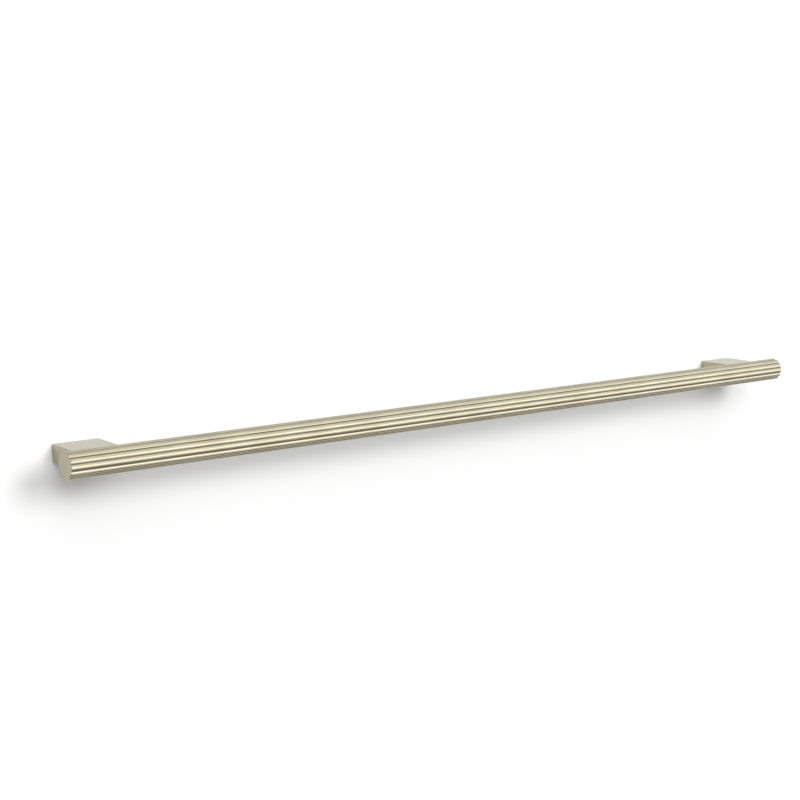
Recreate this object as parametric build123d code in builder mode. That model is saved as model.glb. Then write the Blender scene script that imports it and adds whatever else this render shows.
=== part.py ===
from build123d import *
import os
from math import cos, pi

# Towel rail: a round reeded bar carried off the wall by two block brackets.
# The origin lies on the wall, midway between the brackets and level with the bar's axis.
# +X runs along the bar, +Y into the wall and +Z up. Sizes are in millimetres.

# Bar: a tube with convex reeds all round, closed by a cap at each end
bar_length = 800.0            # over both caps
bar_diameter = 21.8           # over the crests of the reeds
reed_count = 12
groove_depth = 1.2            # from a crest down to the groove beside it
tube_wall = 1.7               # metal left between a groove and the bore
axis_to_wall = 50.5

# End caps: a flange with the outline of the bar and a hollow spigot in the bore
cap_flange = 2.5
cap_bevel = 0.4               # turned bevel round the end face
spigot_length = 10.0
spigot_wall = 2.0
spigot_clearance = 0.1

# Brackets: blocks with a saddle for the bar in front and a pocket behind
bracket_inset = 13.75         # from the end of the bar to the bracket's outer side
bracket_width = 39.5
bracket_height = 14.5
bracket_wall = 2.2            # round the pocket
bracket_edge = 0.8            # rounding of the four long edges
back_bevel = 0.5              # round the face that meets the wall
lip_to_axis = 8.0             # the saddle's lips stop this far behind the bar's axis
saddle_clearance = 0.1
pocket_depth = 8.0
pocket_corner = 1.5

# Wall plates: screwed to the wall, each inside the pocket of its bracket
plate_thickness = 6.0
plate_clearance = 0.15
wall_hole_diameter = 4.5
wall_hole_inset = 6.4         # from the end of the plate to the hole's axis
countersink_diameter = 8.2

# Bar screws: each pulls the bar into its saddle from the floor of the pocket
screw_diameter = 5.0
screw_hole_clearance = 0.2    # on the radius
screw_past_axis = 2.5         # the tip goes this far past the bar's axis
screw_head_diameter = 8.5
screw_head_height = 5.0
screw_socket = 4.0            # across the flats
screw_socket_depth = 2.5
washer_rim = 0.25             # the washer's reach past the screw head
washer_thickness = 1.0
washer_clearance = 0.15
counterbore_clearance = 0.15

# Bar nuts: tapped slugs inside the tube that take the bar screws
nut_length = 20.0
nut_clearance = 0.1
thread_clearance = 0.05       # plain walls stand for the threads

# Grub screws: each locks a bracket to its wall plate from below
grub_diameter = 4.0
grub_recess = 0.2             # below the bracket's underside
grub_point = 1.2              # height of the cone point
grub_tip_radius = 0.8
grub_socket = 2.0             # across the flats
grub_socket_depth = 1.2

# Sizes that follow
bar_radius = bar_diameter / 2
groove_radius = bar_radius - groove_depth
bore_radius = groove_radius - tube_wall
half_pitch = pi / reed_count
groove_reach = groove_radius * cos(half_pitch)
# a reed is the circle through its crest and the two grooves beside it
reed_radius = (bar_radius**2 + groove_radius**2 - 2 * bar_radius * groove_reach) / (2 * (bar_radius - groove_reach))
reed_circle = bar_radius - reed_radius
tube_half = bar_length / 2 - cap_flange
bracket_x = bar_length / 2 - bracket_inset - bracket_width / 2
bracket_depth = axis_to_wall - lip_to_axis
pocket_width = bracket_width - 2 * bracket_wall
pocket_height = bracket_height - 2 * bracket_wall
plate_width = pocket_width - 2 * plate_clearance
plate_height = pocket_height - 2 * plate_clearance
wall_hole_spacing = plate_width - 2 * wall_hole_inset
head_seat = pocket_depth + screw_head_height
screw_radius = screw_diameter / 2
screw_hole_radius = screw_radius + screw_hole_clearance
washer_radius = screw_head_diameter / 2 + washer_rim
nut_radius = bore_radius - nut_clearance
grub_radius = grub_diameter / 2
grub_to_wall = plate_thickness / 2
grub_base = grub_recess - bracket_height / 2
grub_thread = bracket_wall + plate_clearance - grub_recess


def reeded_outline(grow=0.0):
    # joins the reeds into the sketch that is open; grow leaves room round them
    Circle(reed_circle)
    with PolarLocations(reed_circle, reed_count):
        Circle(reed_radius + grow)


os.makedirs("parts", exist_ok=True)

# Bar tube, with a hole in its back for each bar screw
with BuildPart() as rail_tube:
    with BuildSketch(Plane((0, -axis_to_wall, 0), x_dir=(0, 1, 0), z_dir=(1, 0, 0))):
        reeded_outline()
        Circle(bore_radius, mode=Mode.SUBTRACT)
    extrude(amount=tube_half, both=True)
    with Locations(Plane((0, bar_radius - axis_to_wall, 0), x_dir=(1, 0, 0), z_dir=(0, 1, 0))):
        with GridLocations(2 * bracket_x, 0, 2, 1):
            Hole(screw_hole_radius, depth=bar_radius)
rail_tube.part.label = "rail_tube"
export_step(rail_tube.part, "parts/rail_tube.step")

for side, sign in (("left", -1), ("right", 1)):
    x = sign * bracket_x
    wall = Plane((x, 0, 0), x_dir=(1, 0, 0), z_dir=(0, -1, 0))
    bar_section = Plane((x, -axis_to_wall, 0), x_dir=(0, 1, 0), z_dir=(1, 0, 0))
    tube_end = Plane((sign * tube_half, -axis_to_wall, 0), x_dir=(0, 1, 0), z_dir=(sign, 0, 0))
    bar_axis = Axis((0, -axis_to_wall, 0), (1, 0, 0))

    # End cap: the flange is cut to the outline of the bar and turned to a bevel
    with BuildPart() as end_cap:
        with BuildSketch(tube_end):
            reeded_outline()
        extrude(amount=cap_flange)
        with BuildSketch(Plane(tube_end.origin, x_dir=(0, 1, 0), z_dir=(0, 0, -sign))):
            bevel_run = (cap_flange + cap_bevel) / 2
            with BuildLine():
                Polyline(
                    (0, 0),
                    (bar_radius + bevel_run - cap_bevel, 0),
                    (bar_radius + bevel_run - cap_bevel, cap_flange - bevel_run),
                    (bar_radius - cap_bevel, cap_flange),
                    (0, cap_flange),
                    close=True,
                )
            make_face()
        revolve(axis=bar_axis, mode=Mode.INTERSECT)
        with BuildSketch(tube_end):
            Circle(bore_radius - spigot_clearance)
            Circle(bore_radius - spigot_clearance - spigot_wall, mode=Mode.SUBTRACT)
        extrude(amount=-spigot_length)
    end_cap.part.label = f"end_cap_{side}"
    export_step(end_cap.part, f"parts/end_cap_{side}.step")

    # Bracket: the reeds of the saddle key the bar so that it can't turn
    with BuildPart() as bracket:
        with BuildSketch(wall):
            Rectangle(bracket_width, bracket_height)
        extrude(amount=bracket_depth)
        fillet(bracket.edges().filter_by(Axis.Y), bracket_edge)
        chamfer(bracket.faces().sort_by(Axis.Y)[-1].edges(), back_bevel)
        with BuildSketch(bar_section):
            reeded_outline(saddle_clearance)
        extrude(amount=bracket_width, both=True, mode=Mode.SUBTRACT)
        with BuildSketch(wall):
            RectangleRounded(pocket_width, pocket_height, pocket_corner)
        extrude(amount=pocket_depth, mode=Mode.SUBTRACT)
        with Locations(Plane((x, -pocket_depth, 0), x_dir=(1, 0, 0), z_dir=(0, 1, 0))):
            CounterBoreHole(
                screw_hole_radius,
                counter_bore_radius=washer_radius + counterbore_clearance,
                counter_bore_depth=screw_head_height + washer_thickness,
            )
        with Locations(Plane((x, -grub_to_wall, -bracket_height / 2), x_dir=(1, 0, 0), z_dir=(0, 0, -1))):
            Hole(grub_radius + thread_clearance, depth=bracket_wall)
    bracket.part.label = f"bracket_{side}"
    export_step(bracket.part, f"parts/bracket_{side}.step")

    # Wall plate: two countersunk holes and a seat below for the grub screw's point
    with BuildPart() as wall_plate:
        with BuildSketch(wall):
            plate_outline = Rectangle(plate_width, plate_height)
            chamfer(plate_outline.vertices(), pocket_corner)
        extrude(amount=plate_thickness)
        with Locations(wall.offset(plate_thickness)):
            with GridLocations(wall_hole_spacing, 0, 2, 1):
                CounterSinkHole(wall_hole_diameter / 2, countersink_diameter / 2, counter_sink_angle=90)
        with Locations((x, -grub_to_wall, -plate_height / 2)):
            Cone(
                grub_radius + thread_clearance,
                grub_tip_radius + thread_clearance,
                grub_point + thread_clearance,
                align=(Align.CENTER, Align.CENTER, Align.MIN),
                mode=Mode.SUBTRACT,
            )
    wall_plate.part.label = f"wall_plate_{side}"
    export_step(wall_plate.part, f"parts/wall_plate_{side}.step")

    # Bar screw: its head lies flush with the floor of the pocket
    with BuildPart() as bar_screw:
        with BuildSketch(wall.offset(pocket_depth)):
            Circle(screw_head_diameter / 2)
        extrude(amount=screw_head_height)
        with BuildSketch(wall.offset(head_seat)):
            Circle(screw_radius)
        extrude(amount=axis_to_wall + screw_past_axis - head_seat)
        with BuildSketch(wall.offset(pocket_depth)):
            RegularPolygon(screw_socket / 2, 6, major_radius=False)
        extrude(amount=screw_socket_depth, mode=Mode.SUBTRACT)
    bar_screw.part.label = f"bar_screw_{side}"
    export_step(bar_screw.part, f"parts/bar_screw_{side}.step")

    # Washer between the screw head and the floor of the counterbore
    with BuildPart() as screw_washer:
        with BuildSketch(wall.offset(head_seat)):
            Circle(washer_radius)
            Circle(screw_radius + washer_clearance, mode=Mode.SUBTRACT)
        extrude(amount=washer_thickness)
    screw_washer.part.label = f"screw_washer_{side}"
    export_step(screw_washer.part, f"parts/screw_washer_{side}.step")

    # Bar nut: a slug in the bore, tapped across
    with BuildPart() as bar_nut:
        with BuildSketch(bar_section):
            Circle(nut_radius)
        extrude(amount=nut_length / 2, both=True)
        with Locations(Plane((x, nut_radius - axis_to_wall, 0), x_dir=(1, 0, 0), z_dir=(0, 1, 0))):
            Hole(screw_radius + thread_clearance)
    bar_nut.part.label = f"bar_nut_{side}"
    export_step(bar_nut.part, f"parts/bar_nut_{side}.step")

    # Grub screw: turned with a cone point, with a hexagon socket below
    with BuildPart() as grub_screw:
        with BuildSketch(Plane((x, -grub_to_wall, grub_base), x_dir=(1, 0, 0), z_dir=(0, -1, 0))):
            with BuildLine():
                Polyline(
                    (0, 0),
                    (grub_radius, 0),
                    (grub_radius, grub_thread),
                    (grub_tip_radius, grub_thread + grub_point),
                    (0, grub_thread + grub_point),
                    close=True,
                )
            make_face()
        revolve(axis=Axis((x, -grub_to_wall, 0), (0, 0, 1)))
        with BuildSketch(Plane.XY.offset(grub_base)):
            with Locations((x, -grub_to_wall)):
                RegularPolygon(grub_socket / 2, 6, major_radius=False)
        extrude(amount=grub_socket_depth, mode=Mode.SUBTRACT)
    grub_screw.part.label = f"grub_screw_{side}"
    export_step(grub_screw.part, f"parts/grub_screw_{side}.step")
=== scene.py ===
import math
import bmesh
import bpy
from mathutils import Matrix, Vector


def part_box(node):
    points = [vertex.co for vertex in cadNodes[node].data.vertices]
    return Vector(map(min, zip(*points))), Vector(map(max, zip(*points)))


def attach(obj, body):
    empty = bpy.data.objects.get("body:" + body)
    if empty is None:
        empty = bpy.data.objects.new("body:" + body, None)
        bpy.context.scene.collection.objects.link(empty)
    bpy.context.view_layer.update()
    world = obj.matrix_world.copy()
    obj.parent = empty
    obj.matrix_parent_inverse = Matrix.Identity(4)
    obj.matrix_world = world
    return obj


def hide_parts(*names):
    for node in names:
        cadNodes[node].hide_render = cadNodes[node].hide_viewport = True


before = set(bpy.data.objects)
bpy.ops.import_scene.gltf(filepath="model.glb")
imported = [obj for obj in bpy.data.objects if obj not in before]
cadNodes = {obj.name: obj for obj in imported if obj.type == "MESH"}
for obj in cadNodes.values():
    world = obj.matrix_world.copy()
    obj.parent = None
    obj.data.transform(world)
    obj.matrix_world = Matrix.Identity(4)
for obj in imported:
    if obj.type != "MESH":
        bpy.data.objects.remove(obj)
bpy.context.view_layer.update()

# the rail hangs on a pale wall: X along the bar, Y into the wall, Z up, in metres
scene = bpy.context.scene
sides = ("left", "right")
tubeLow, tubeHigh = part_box("rail_tube")
axisY = (tubeLow.y + tubeHigh.y) / 2
axisZ = (tubeLow.z + tubeHigh.z) / 2
barRadius = (tubeHigh.z - tubeLow.z) / 2


# outlines, as points (u, v) round an axis

def circle(radius, count):
    turns = [2 * math.pi * i / count for i in range(count)]
    return [(radius * math.cos(a), radius * math.sin(a)) for a in turns]


def hexagon(flats, count):
    # across the flats, with a corner at the first of every sixth of the points
    points = []
    for i in range(count):
        a = 2 * math.pi * i / count
        bend = (a % (math.pi / 3)) - math.pi / 6
        r = flats / 2 / math.cos(bend)
        points.append((r * math.cos(a), r * math.sin(a)))
    return points


def roundedBox(width, height, radius, steps):
    points = []
    for k, (sx, sy) in enumerate(((1, 1), (-1, 1), (-1, -1), (1, -1))):
        for i in range(steps + 1):
            a = math.pi / 2 * (k + i / steps)
            points.append((sx * (width / 2 - radius) + radius * math.cos(a),
                           sy * (height / 2 - radius) + radius * math.sin(a)))
    return points


# rings: an outline set across the bar, off the wall or upright

def alongBar(points, x):
    return [(x, axisY + u, axisZ + v) for u, v in points]


def offWall(points, x, depth):
    return [(x + u, -depth, v) for u, v in points]


def upright(points, x, y, z):
    return [(x + u, y + v, z) for u, v in points]


# meshes

meshForm = {
    "weld": 0.000002,  # points closer than this are joined after a cut
    "overshoot": 0.01,  # cutters reach this far past the metal
    "normalWeight": 100,  # large faces keep their own normals
}


def tidyMesh(mesh, weld=0.0):
    # joins points closer than weld, drops what that flattens and turns every face outwards
    shell = bmesh.new()
    shell.from_mesh(mesh)
    if weld:
        bmesh.ops.remove_doubles(shell, verts=shell.verts, dist=weld)
        bmesh.ops.dissolve_degenerate(shell, edges=shell.edges, dist=weld)
    bmesh.ops.recalc_face_normals(shell, faces=shell.faces)
    shell.to_mesh(mesh)
    shell.free()


def skin(name, rings, closed=False):
    # joins rings of equal count into a closed mesh, with flat ends unless the rings close on themselves
    count = len(rings[0])
    verts = [p for ring in rings for p in ring]
    faces = []
    for k in range(len(rings) if closed else len(rings) - 1):
        a = k * count
        b = (k + 1) % len(rings) * count
        faces += [(a + i, a + (i + 1) % count, b + (i + 1) % count, b + i) for i in range(count)]
    if not closed:
        faces.append(tuple(range(count - 1, -1, -1)))
        faces.append(tuple(range(len(verts) - count, len(verts))))
    mesh = bpy.data.meshes.new(name)
    mesh.from_pydata(verts, [], faces)
    tidyMesh(mesh)
    obj = bpy.data.objects.new(name, mesh)
    scene.collection.objects.link(obj)
    return obj


def applyModifiers(obj):
    bpy.context.view_layer.update()
    graph = bpy.context.evaluated_depsgraph_get()
    shaped = obj.evaluated_get(graph)
    done = bpy.data.meshes.new_from_object(shaped, preserve_all_data_layers=True, depsgraph=graph)
    obj.modifiers.clear()
    obj.data = done


def cutAway(obj, cutters):
    for cutter in cutters:
        cut = obj.modifiers.new("cut", "BOOLEAN")
        cut.operation = "DIFFERENCE"
        cut.solver = "EXACT"
        cut.object = cutter
        applyModifiers(obj)
        bpy.data.objects.remove(cutter)
    tidyMesh(obj.data, meshForm["weld"])


def finishPiece(obj, material, node, sharp):
    # smooth shading up to an angle, flat faces kept flat, then hung on the fixed body
    obj.data.shade_smooth()
    obj.data.set_sharp_from_angle(angle=math.radians(sharp))
    level = obj.modifiers.new("level", "WEIGHTED_NORMAL")
    level.keep_sharp = True
    level.weight = meshForm["normalWeight"]
    applyModifiers(obj)
    obj.data.materials.clear()
    obj.data.materials.append(material)
    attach(obj, "root")
    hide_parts(node)
    print("piece", obj.name, len(obj.data.polygons), "faces")


# shader nodes

def addNode(tree, kind, inputs=None, **settings):
    # settings are the node's own; inputs are plain values, or sockets to link
    node = tree.nodes.new("ShaderNode" + kind)
    for key, value in settings.items():
        setattr(node, key, value)
    for key, value in (inputs or {}).items():
        if isinstance(value, bpy.types.NodeSocket):
            tree.links.new(value, node.inputs[key])
        else:
            node.inputs[key].default_value = value
    return node


def addMath(tree, operation, *values):
    return addNode(tree, "Math", dict(enumerate(values)), operation=operation).outputs[0]


def addVector(tree, operation, first, second):
    return addNode(tree, "VectorMath", {0: first, 1: second}, operation=operation)


def addRemap(tree, value, source, target=(0.0, 1.0), easing="LINEAR"):
    inputs = {
        "Value": value,
        "From Min": source[0],
        "From Max": source[1],
        "To Min": target[0],
        "To Max": target[1],
    }
    return addNode(tree, "MapRange", inputs, interpolation_type=easing).outputs["Result"]


def addBlend(tree, factor, first, second):
    # one shader where the factor is 0, the other where it is 1
    return addNode(tree, "MixShader", {0: factor, 1: first.outputs[0], 2: second.outputs[0]})


# metals

grainForm = {
    "grainDetail": 4.0,
    "cloudScale": 38.0,
    "cloudDetail": 2.0,
    "shadeFrom": (0.75, 1.25),  # of the grain and clouds together
    "shadeTo": (0.92, 1.08),  # times the tone
    "roughFrom": (0.35, 0.65),  # of the grain
    "bumpDistance": 0.00002,
    "satinBump": 0.3,
    "innerBump": 0.2,
}


def addSockets(group, direction, sockets):
    for name, kind in sockets:
        group.interface.new_socket(name, in_out=direction, socket_type="NodeSocket" + kind)


def brushedGroup():
    # long grain from stretched noise, slow clouds over it, and painted shade: the colour darkens towards a
    # groove's floor, where shade falls
    group = bpy.data.node_groups.new("brushedMetal", "ShaderNodeTree")
    addSockets(group, "INPUT", (
        ("Vector", "Vector"), ("Stretch", "Vector"), ("Tone", "Color"), ("Painted Groove Shade", "Color"),
        ("Axis", "Vector"), ("Across", "Vector"), ("Groove", "Float"), ("Crest", "Float"),
        ("Low Rough", "Float"), ("High Rough", "Float")))
    addSockets(group, "OUTPUT", (("Color", "Color"), ("Roughness", "Float"), ("Height", "Float")))
    given = group.nodes.new("NodeGroupInput")
    made = group.nodes.new("NodeGroupOutput")
    place = given.outputs["Vector"]
    stretched = addVector(group, "MULTIPLY", place, given.outputs["Stretch"])
    grain = addNode(group, "TexNoise", {
        "Vector": stretched.outputs[0], "Scale": 1.0, "Detail": grainForm["grainDetail"]})
    cloud = addNode(group, "TexNoise", {
        "Vector": place, "Scale": grainForm["cloudScale"], "Detail": grainForm["cloudDetail"]})
    # distance from the bar's axis
    offset = addVector(group, "SUBTRACT", place, given.outputs["Axis"])
    flat = addVector(group, "MULTIPLY", offset.outputs[0], given.outputs["Across"])
    reach = addNode(group, "VectorMath", {0: flat.outputs[0]}, operation="LENGTH")
    # painted shade mask: 0 at the groove floor, 1 up at the crest
    rise = addRemap(group, reach.outputs["Value"], (given.outputs["Groove"], given.outputs["Crest"]))
    # end faces get none of the painted groove shade
    facing = addNode(group, "NewGeometry")
    ends = addVector(group, "DOT_PRODUCT", facing.outputs["Normal"], (1.0, 0.0, 0.0))
    unshadedShare = addMath(group, "MAXIMUM", rise, addMath(group, "ABSOLUTE", ends.outputs["Value"]))
    # painted shade: the tone is swapped for a dark colour deep in the grooves, standing in for the shade
    # there
    tone = addNode(group, "Mix", {
        "Factor": unshadedShare, "A": given.outputs["Painted Groove Shade"], "B": given.outputs["Tone"]}, data_type="RGBA")
    both = addMath(group, "ADD", grain.outputs["Fac"], cloud.outputs["Fac"])
    shade = addRemap(group, both, grainForm["shadeFrom"], grainForm["shadeTo"])
    color = addNode(group, "VectorMath", {0: tone.outputs["Result"], "Scale": shade}, operation="SCALE")
    rough = addRemap(group, grain.outputs["Fac"], grainForm["roughFrom"],
                     (given.outputs["Low Rough"], given.outputs["High Rough"]))
    group.links.new(color.outputs[0], made.inputs["Color"])
    group.links.new(rough, made.inputs["Roughness"])
    group.links.new(grain.outputs["Fac"], made.inputs["Height"])
    return group


brushed = brushedGroup()


def brushedMaterial(name, look, bumpStrength):
    mat = bpy.data.materials.new(name)
    mat.use_nodes = True
    tree = mat.node_tree
    coords = addNode(tree, "TexCoord")
    metal = addNode(tree, "Group", {"Vector": coords.outputs["Object"], **look}, node_tree=brushed)
    bump = addNode(tree, "Bump", {
        "Strength": bumpStrength, "Distance": grainForm["bumpDistance"], "Height": metal.outputs["Height"]})
    shader = tree.nodes["Principled BSDF"]
    shader.inputs["Metallic"].default_value = 1.0
    tree.links.new(metal.outputs["Color"], shader.inputs["Base Color"])
    tree.links.new(metal.outputs["Roughness"], shader.inputs["Roughness"])
    tree.links.new(bump.outputs["Normal"], shader.inputs["Normal"])
    return mat


nickelLook = {
    "Stretch": (24.0, 1500.0, 1500.0),
    "Tone": (0.390, 0.360, 0.263, 1.0),
    # painted shade colour for the grooves' floors
    "Painted Groove Shade": (0.114, 0.105, 0.082, 1.0),
    "Axis": (0.0, axisY, axisZ),
    "Across": (0.0, 1.0, 1.0),
    "Groove": barRadius - 0.00094,  # the painted groove shade is darkest from here down
    "Crest": barRadius - 0.0006,  # and gone from here up
    "Low Rough": 0.14,
    "High Rough": 0.28,
}
plateLook = {
    "Stretch": (260.0, 260.0, 260.0),
    "Tone": (0.52, 0.53, 0.55, 1.0),
    "Low Rough": 0.32,
    "High Rough": 0.55,
}
screwLook = {
    "Stretch": (900.0, 4200.0, 900.0),
    "Tone": (0.44, 0.44, 0.45, 1.0),
    "Low Rough": 0.25,
    "High Rough": 0.42,
}
brassLook = {
    "Stretch": (4200.0, 700.0, 700.0),
    "Tone": (0.62, 0.43, 0.14, 1.0),
    "Low Rough": 0.28,
    "High Rough": 0.45,
}


def innerMaterial(name, look):
    # the same brushed metal in one tone, without the painted groove shade
    oneTone = {**nickelLook, **look, "Painted Groove Shade": look["Tone"]}
    return brushedMaterial(name, oneTone, grainForm["innerBump"])


satinNickel = brushedMaterial("satinNickel", nickelLook, grainForm["satinBump"])
plateSteel = innerMaterial("plateSteel", plateLook)
screwSteel = innerMaterial("screwSteel", screwLook)
bareBrass = innerMaterial("bareBrass", brassLook)
print("materials made")


# reeded bar

barForm = {
    "reeds": 12,
    "depth": 0.0012,  # from a crest to the groove beside it
    "root": 0.0005,  # radius between two reeds
    "arcSteps": 24,
    "rootSteps": 4,
    "lengths": 16,  # stretches from end to end
    "bore": 0.0080,
    "screwHole": 0.0027,
    "holeReach": 1.1,  # from the axis, in radii of the bar
    "holePoints": 48,
    "sharp": 50,
}


def twoArms(first, firstTurn, second, secondTurn):
    # where two arms laid end to end reach, each with its length and angle
    return (first * math.cos(firstTurn) + second * math.cos(secondTurn),
            first * math.sin(firstTurn) + second * math.sin(secondTurn))


def reedLoop(form, grow=0.0):
    # a reed is the circle through its crest and the grooves beside it; a small root radius joins two reeds
    half = math.pi / form["reeds"]
    low = barRadius - form["depth"]
    reach = low * math.cos(half)
    reed = (barRadius ** 2 + low ** 2 - 2 * barRadius * reach) / (2 * (barRadius - reach))
    ring = barRadius - reed
    reed += grow
    root = form["root"]
    far = ring * math.cos(half) + math.sqrt((reed + root) ** 2 - (ring * math.sin(half)) ** 2)
    lean = math.atan2(far * math.sin(half), far * math.cos(half) - ring)
    points = []
    for k in range(form["reeds"]):
        turn = 2 * half * k
        for i in range(form["arcSteps"] + 1):
            a = turn - lean + 2 * lean * i / form["arcSteps"]
            points.append(twoArms(ring, turn, reed, a))
        for i in range(1, form["rootSteps"]):
            a = turn + math.pi + lean - 2 * (lean - half) * i / form["rootSteps"]
            points.append(twoArms(far, turn + half, root, a))
    return points


reeds = reedLoop(barForm)
reedPoints = len(reeds)
bore = circle(barForm["bore"], reedPoints)
steps = barForm["lengths"]
stations = [tubeLow.x + (tubeHigh.x - tubeLow.x) * i / steps for i in range(steps + 1)]
outside = [alongBar(reeds, x) for x in stations]
inside = [alongBar(bore, x) for x in reversed(stations)]
bar = skin("bar", outside + inside, closed=True)
screwHole = circle(barForm["screwHole"], barForm["holePoints"])
holeEnd = -axisY - barForm["holeReach"] * barRadius
holes = []
for side in sides:
    low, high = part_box("bar_screw_" + side)
    x = (low.x + high.x) / 2
    holes.append(skin("hole", [offWall(screwHole, x, -axisY), offWall(screwHole, x, holeEnd)]))
cutAway(bar, holes)
finishPiece(bar, satinNickel, "rail_tube", barForm["sharp"])


# end caps

capForm = {
    "bevel": 0.0004,
    "bevelSteps": 3,
    "spigot": 0.0079,
    "spigotWall": 0.002,
    "spigotLength": 0.010,
    "sharp": 40,
}


def trimTo(most, points):
    # pulls in the points that lie further than most from the axis
    shares = [min(1.0, most / math.hypot(u, v)) for u, v in points]
    return [(u * share, v * share) for (u, v), share in zip(points, shares)]


spigot = circle(capForm["spigot"], reedPoints)
hollow = circle(capForm["spigot"] - capForm["spigotWall"], reedPoints)
for side in sides:
    low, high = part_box("end_cap_" + side)
    outer, inner = (low.x, tubeLow.x) if side == "left" else (high.x, tubeHigh.x)
    out = 1.0 if outer > inner else -1.0
    end = inner - out * capForm["spigotLength"]
    rings = []
    for i in range(capForm["bevelSteps"] + 1):
        drop = capForm["bevel"] * i / capForm["bevelSteps"]
        bevelled = trimTo(barRadius - capForm["bevel"] + drop, reeds)
        rings.append(alongBar(bevelled, outer - out * drop))
    rings += [alongBar(reeds, inner), alongBar(spigot, inner), alongBar(spigot, end)]
    rings += [alongBar(hollow, end), alongBar(hollow, inner)]
    cap = skin("cap." + side, rings)
    finishPiece(cap, satinNickel, "end_cap_" + side, capForm["sharp"])


# brackets

blockForm = {
    "edge": 0.0008,
    "bevel": 0.0005,  # at the wall
    "cornerSteps": 8,
    "saddleGrow": 0.0001,
    "pocket": (0.0351, 0.0101),
    "pocketCorner": 0.0015,
    "pocketDepth": 0.008,
    "inPocket": 0.002,  # cutters that leave the pocket start here
    "counterbore": 0.00465,
    "counterboreDepth": 0.014,
    "counterborePoints": 64,
    "grubHole": 0.00205,
    "grubDepth": 0.003,
    "grubPoints": 48,
    "sharp": 30,
}
saddle = reedLoop(barForm, blockForm["saddleGrow"])
pocket = roundedBox(*blockForm["pocket"], blockForm["pocketCorner"], blockForm["cornerSteps"])
counterbore = circle(blockForm["counterbore"], blockForm["counterborePoints"])
grubHole = circle(blockForm["grubHole"], blockForm["grubPoints"])
past = meshForm["overshoot"]
for side in sides:
    low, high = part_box("bracket_" + side)
    x = (low.x + high.x) / 2
    width = high.x - low.x
    height = high.z - low.z
    depth = high.y - low.y
    edge = blockForm["edge"]
    bevel = blockForm["bevel"]
    start = blockForm["inPocket"]
    seat = blockForm["counterboreDepth"]
    grubY = -blockForm["grubDepth"]
    outline = roundedBox(width, height, edge, blockForm["cornerSteps"])
    inset = roundedBox(width - 2 * bevel, height - 2 * bevel, edge - bevel, blockForm["cornerSteps"])
    rings = [offWall(inset, x, 0.0), offWall(outline, x, bevel), offWall(outline, x, depth)]
    block = skin("bracket." + side, rings)
    cutAway(block, [
        skin("saddle", [alongBar(saddle, low.x - past), alongBar(saddle, high.x + past)]),
        skin("pocket", [offWall(pocket, x, -past), offWall(pocket, x, blockForm["pocketDepth"])]),
        skin("counterbore", [offWall(counterbore, x, start), offWall(counterbore, x, seat)]),
        skin("shaft", [offWall(screwHole, x, start), offWall(screwHole, x, depth + past)]),
        skin("grub", [upright(grubHole, x, grubY, low.z - past), upright(grubHole, x, grubY, -start)]),
    ])
    finishPiece(block, satinNickel, "bracket_" + side, blockForm["sharp"])


# screws, with threads

threadForm = {
    "ringsPerPitch": 8,
    "slope": 4.0,  # of the flanks, in thread depths for each pitch
    "rise": 1.25,  # in thread depths: what is over 1 makes the flat of the root
}
screwForm = {
    "headDiameter": 0.0085,
    "headBevel": 0.0004,
    "headHeight": 0.005,
    "socket": 0.004,
    "socketDepth": 0.0025,
    "diameter": 0.005,
    "pitch": 0.0008,
    "threadDepth": 0.00045,
    "threadStart": 0.034,  # from the wall
    "tip": 0.0006,
    "points": 48,
    "sharp": 30,
}
grubForm = {
    "diameter": 0.004,
    "pitch": 0.0007,
    "threadDepth": 0.0003,
    "socket": 0.002,
    "socketDepth": 0.0012,
    "bevel": 0.00015,
    "point": 0.0012,
    "pointRadius": 0.0008,
    "points": 48,
    "sharp": 30,
}


def thread(form, start, end):
    # outlines of a helix with their distances: the radius falls from crest to root and back in each pitch
    outlines = []
    count = math.ceil((end - start) / form["pitch"] * threadForm["ringsPerPitch"])
    for k in range(count + 1):
        d = start + (end - start) * k / count
        points = []
        for i in range(form["points"]):
            phase = (d / form["pitch"] - i / form["points"]) % 1.0
            share = threadForm["rise"] - threadForm["slope"] * abs(phase - 0.5)  # deepest at mid pitch
            r = form["diameter"] / 2 - form["threadDepth"] * min(1.0, max(0.0, share))
            a = 2 * math.pi * i / form["points"]
            points.append((r * math.cos(a), r * math.sin(a)))
        outlines.append((points, d))
    return outlines


def barScrewOutlines(top, tip):
    count = screwForm["points"]
    head = screwForm["headDiameter"] / 2
    shank = screwForm["diameter"] / 2
    socket = hexagon(screwForm["socket"], count)
    seat = top + screwForm["headHeight"]
    threadStart = screwForm["threadStart"]
    return [
        (socket, top + screwForm["socketDepth"]),
        (socket, top),
        (circle(head - screwForm["headBevel"], count), top),
        (circle(head, count), top + screwForm["headBevel"]),
        (circle(head, count), seat),
        (circle(shank, count), seat),
        (circle(shank, count), threadStart - screwForm["tip"]),
        *thread(screwForm, threadStart, tip - screwForm["tip"]),
        (circle(shank - screwForm["tip"], count), tip),
    ]


def grubScrewOutlines(bottom, top):
    count = grubForm["points"]
    socket = hexagon(grubForm["socket"], count)
    rim = grubForm["diameter"] / 2 - grubForm["bevel"] - grubForm["threadDepth"]
    return [
        (socket, bottom + grubForm["socketDepth"]),
        (socket, bottom),
        (circle(rim, count), bottom),
        *thread(grubForm, bottom + grubForm["bevel"], top - grubForm["point"]),
        (circle(grubForm["pointRadius"], count), top),
    ]


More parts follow.
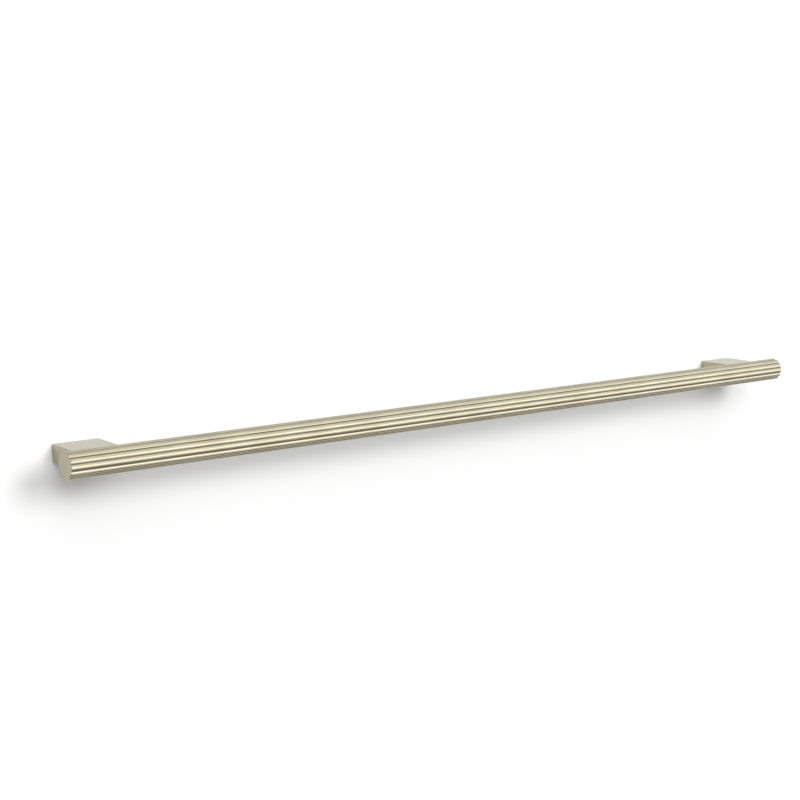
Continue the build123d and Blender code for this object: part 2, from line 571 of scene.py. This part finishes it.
for side in sides:
    low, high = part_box("bar_screw_" + side)
    x = (low.x + high.x) / 2
    rings = [offWall(points, x, depth) for points, depth in barScrewOutlines(-high.y, -low.y)]
    screw = skin("barScrew." + side, rings)
    finishPiece(screw, screwSteel, "bar_screw_" + side, screwForm["sharp"])

    low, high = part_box("grub_screw_" + side)
    x = (low.x + high.x) / 2
    y = (low.y + high.y) / 2
    rings = [upright(points, x, y, z) for points, z in grubScrewOutlines(low.z, high.z)]
    grub = skin("grubScrew." + side, rings)
    finishPiece(grub, screwSteel, "grub_screw_" + side, grubForm["sharp"])


# CAD nodes that stay
for name, material in (("wall_plate", plateSteel), ("screw_washer", screwSteel), ("bar_nut", bareBrass)):
    for side in sides:
        node = cadNodes[name + "_" + side]
        node.data.materials.clear()
        node.data.materials.append(material)
print("inner nodes dressed")


# wall and floor

stageForm = {
    "color": (0.92, 0.92, 0.92, 1.0),
    "gap": 0.0004,  # behind the brackets
    "close": 0.0015,  # nearer than this, the wall lets light through
    "drop": 1.1,
    "reach": 4.0,
}


def stagePlane(name, corners):
    mat = bpy.data.materials.new(name)
    mat.use_nodes = True
    tree = mat.node_tree
    tree.nodes.clear()
    matte = addNode(tree, "BsdfDiffuse", {"Color": stageForm["color"]})
    clear = addNode(tree, "BsdfTransparent")
    # clear from behind, and to the backs that lie against it
    facing = addNode(tree, "NewGeometry")
    path = addNode(tree, "LightPath")
    close = addMath(tree, "LESS_THAN", path.outputs["Ray Length"], stageForm["close"])
    either = addMath(tree, "MAXIMUM", facing.outputs["Backfacing"], close)
    choice = addBlend(tree, either, matte, clear)
    addNode(tree, "OutputMaterial", {"Surface": choice.outputs[0]})
    mesh = bpy.data.meshes.new(name)
    mesh.from_pydata(corners, [], [(0, 1, 2, 3)])
    mesh.materials.append(mat)
    plane = bpy.data.objects.new(name, mesh)
    scene.collection.objects.link(plane)
    return plane


reach = stageForm["reach"]
back = stageForm["gap"]
foot = -stageForm["drop"]
stagePlane("wall", [
    (-reach, back, foot), (reach, back, foot), (reach, back, reach), (-reach, back, reach)])
floor = stagePlane("floor", [
    (-reach, -reach, foot), (reach, -reach, foot), (reach, back, foot), (-reach, back, foot)])
floor.visible_glossy = False
floor.visible_diffuse = False
print("wall and floor set")


# light

lightForm = {
    "white": (1.0, 1.0, 1.0, 1.0),
    "plainHeight": (0.10, 0.80),  # the plain sky grows between these
    "plain": (0.40, 1.42),
    "peak": 3.25,
    "band": (  # degrees up in front, share of the peak
        (-90, 0.08), (-70, 0.10), (-55, 0.20), (-40, 0.42), (-27, 0.40), (-13, 0.52), (-3, 1.0),
        (9, 1.0), (22, 0.70), (34, 0.50), (46, 0.48), (58, 0.46), (72, 0.58), (90, 0.44)),
    "rightward": (-0.6, 0.3),  # the panels grow from left to right between these
    "leftShare": 0.60,
    "behind": 0.8,
    "behindEdge": 0.1,
    "keys": ((-20.0, 30.0, 0.62), (16.0, 24.0, 1.30)),  # degrees aside, degrees up, strength
    "keySpread": 24.0,
    "keyAway": 3.0,
}
world = bpy.data.worlds.new("studio")
scene.world = world
world.use_nodes = True
world.cycles.sampling_method = "NONE"  # each ray finds its own sky
sky = world.node_tree
sky.nodes.clear()
ways = addNode(sky, "TexCoord")
parts = addNode(sky, "SeparateXYZ", {0: ways.outputs["Generated"]})

# plain light, most from overhead
overhead = addRemap(sky, parts.outputs["Z"], lightForm["plainHeight"], lightForm["plain"], "SMOOTHSTEP")
plain = addNode(sky, "Background", {"Color": lightForm["white"], "Strength": overhead})

# what the metal mirrors: soft panels from below to overhead, stronger to the right
front = addMath(sky, "MULTIPLY", parts.outputs["Y"], -1.0)
rise = addMath(sky, "ARCTAN2", parts.outputs["Z"], front)
band = addNode(sky, "ValToRGB", {"Fac": addRemap(sky, rise, (-math.pi / 2, math.pi / 2))})
stops = band.color_ramp.elements
while len(stops) < len(lightForm["band"]):
    stops.new(0.5)  # moved to its place below
for stop, (angle, level) in zip(stops, lightForm["band"]):
    stop.position = (angle + 90) / 180
    stop.color = (level, level, level, 1.0)
sideways = (lightForm["peak"] * lightForm["leftShare"], lightForm["peak"])
right = addRemap(sky, parts.outputs["X"], lightForm["rightward"], sideways, "SMOOTHSTEP")
panel = addNode(sky, "Background", {"Color": band.outputs["Color"], "Strength": right})

# behind the wall the sky is plain, and the eye sees it white
rear = addNode(sky, "Background", {"Color": lightForm["white"], "Strength": lightForm["behind"]})
behind = addRemap(sky, parts.outputs["Y"], (0.0, lightForm["behindEdge"]))
white = addNode(sky, "Background", {"Color": lightForm["white"]})
path = addNode(sky, "LightPath")
around = addBlend(sky, behind, panel, rear)
lit = addBlend(sky, path.outputs["Is Glossy Ray"], plain, around)
seen = addBlend(sky, path.outputs["Is Camera Ray"], lit, white)
addNode(sky, "OutputWorld", {"Surface": seen.outputs[0]})

# two soft lamps above the front throw the shadow on the wall; the metal doesn't mirror them
for number, (aside, up, strength) in enumerate(lightForm["keys"]):
    lamp = bpy.data.lights.new("keyLight", "SUN")
    lamp.energy = strength
    lamp.angle = math.radians(lightForm["keySpread"])
    key = bpy.data.objects.new("keyLight.%d" % number, lamp)
    source = Vector((math.tan(math.radians(aside)), -1.0, math.tan(math.radians(up)))).normalized()
    key.location = lightForm["keyAway"] * source
    key.rotation_euler = (-source).to_track_quat("-Z", "Y").to_euler()
    key.visible_glossy = False
    scene.collection.objects.link(key)
print("light set")


# camera, at the angle of the photograph

viewForm = {
    "place": (-0.9060, -1.1011, 0.2396),
    "pan": 37.85,
    "dip": 9.48,
    "lens": 71.58,
    "sensor": 36.0,
    "clip": (0.05, 50.0),
}
camData = bpy.data.cameras.new("viewCamera")
camData.lens = viewForm["lens"]
camData.sensor_width = viewForm["sensor"]
camData.clip_start, camData.clip_end = viewForm["clip"]
camera = bpy.data.objects.new("viewCamera", camData)
camera.location = viewForm["place"]
camera.rotation_euler = (math.radians(90 - viewForm["dip"]), 0.0, -math.radians(viewForm["pan"]))
scene.collection.objects.link(camera)
scene.camera = camera
scene.view_settings.view_transform = "Standard"
print("camera set")
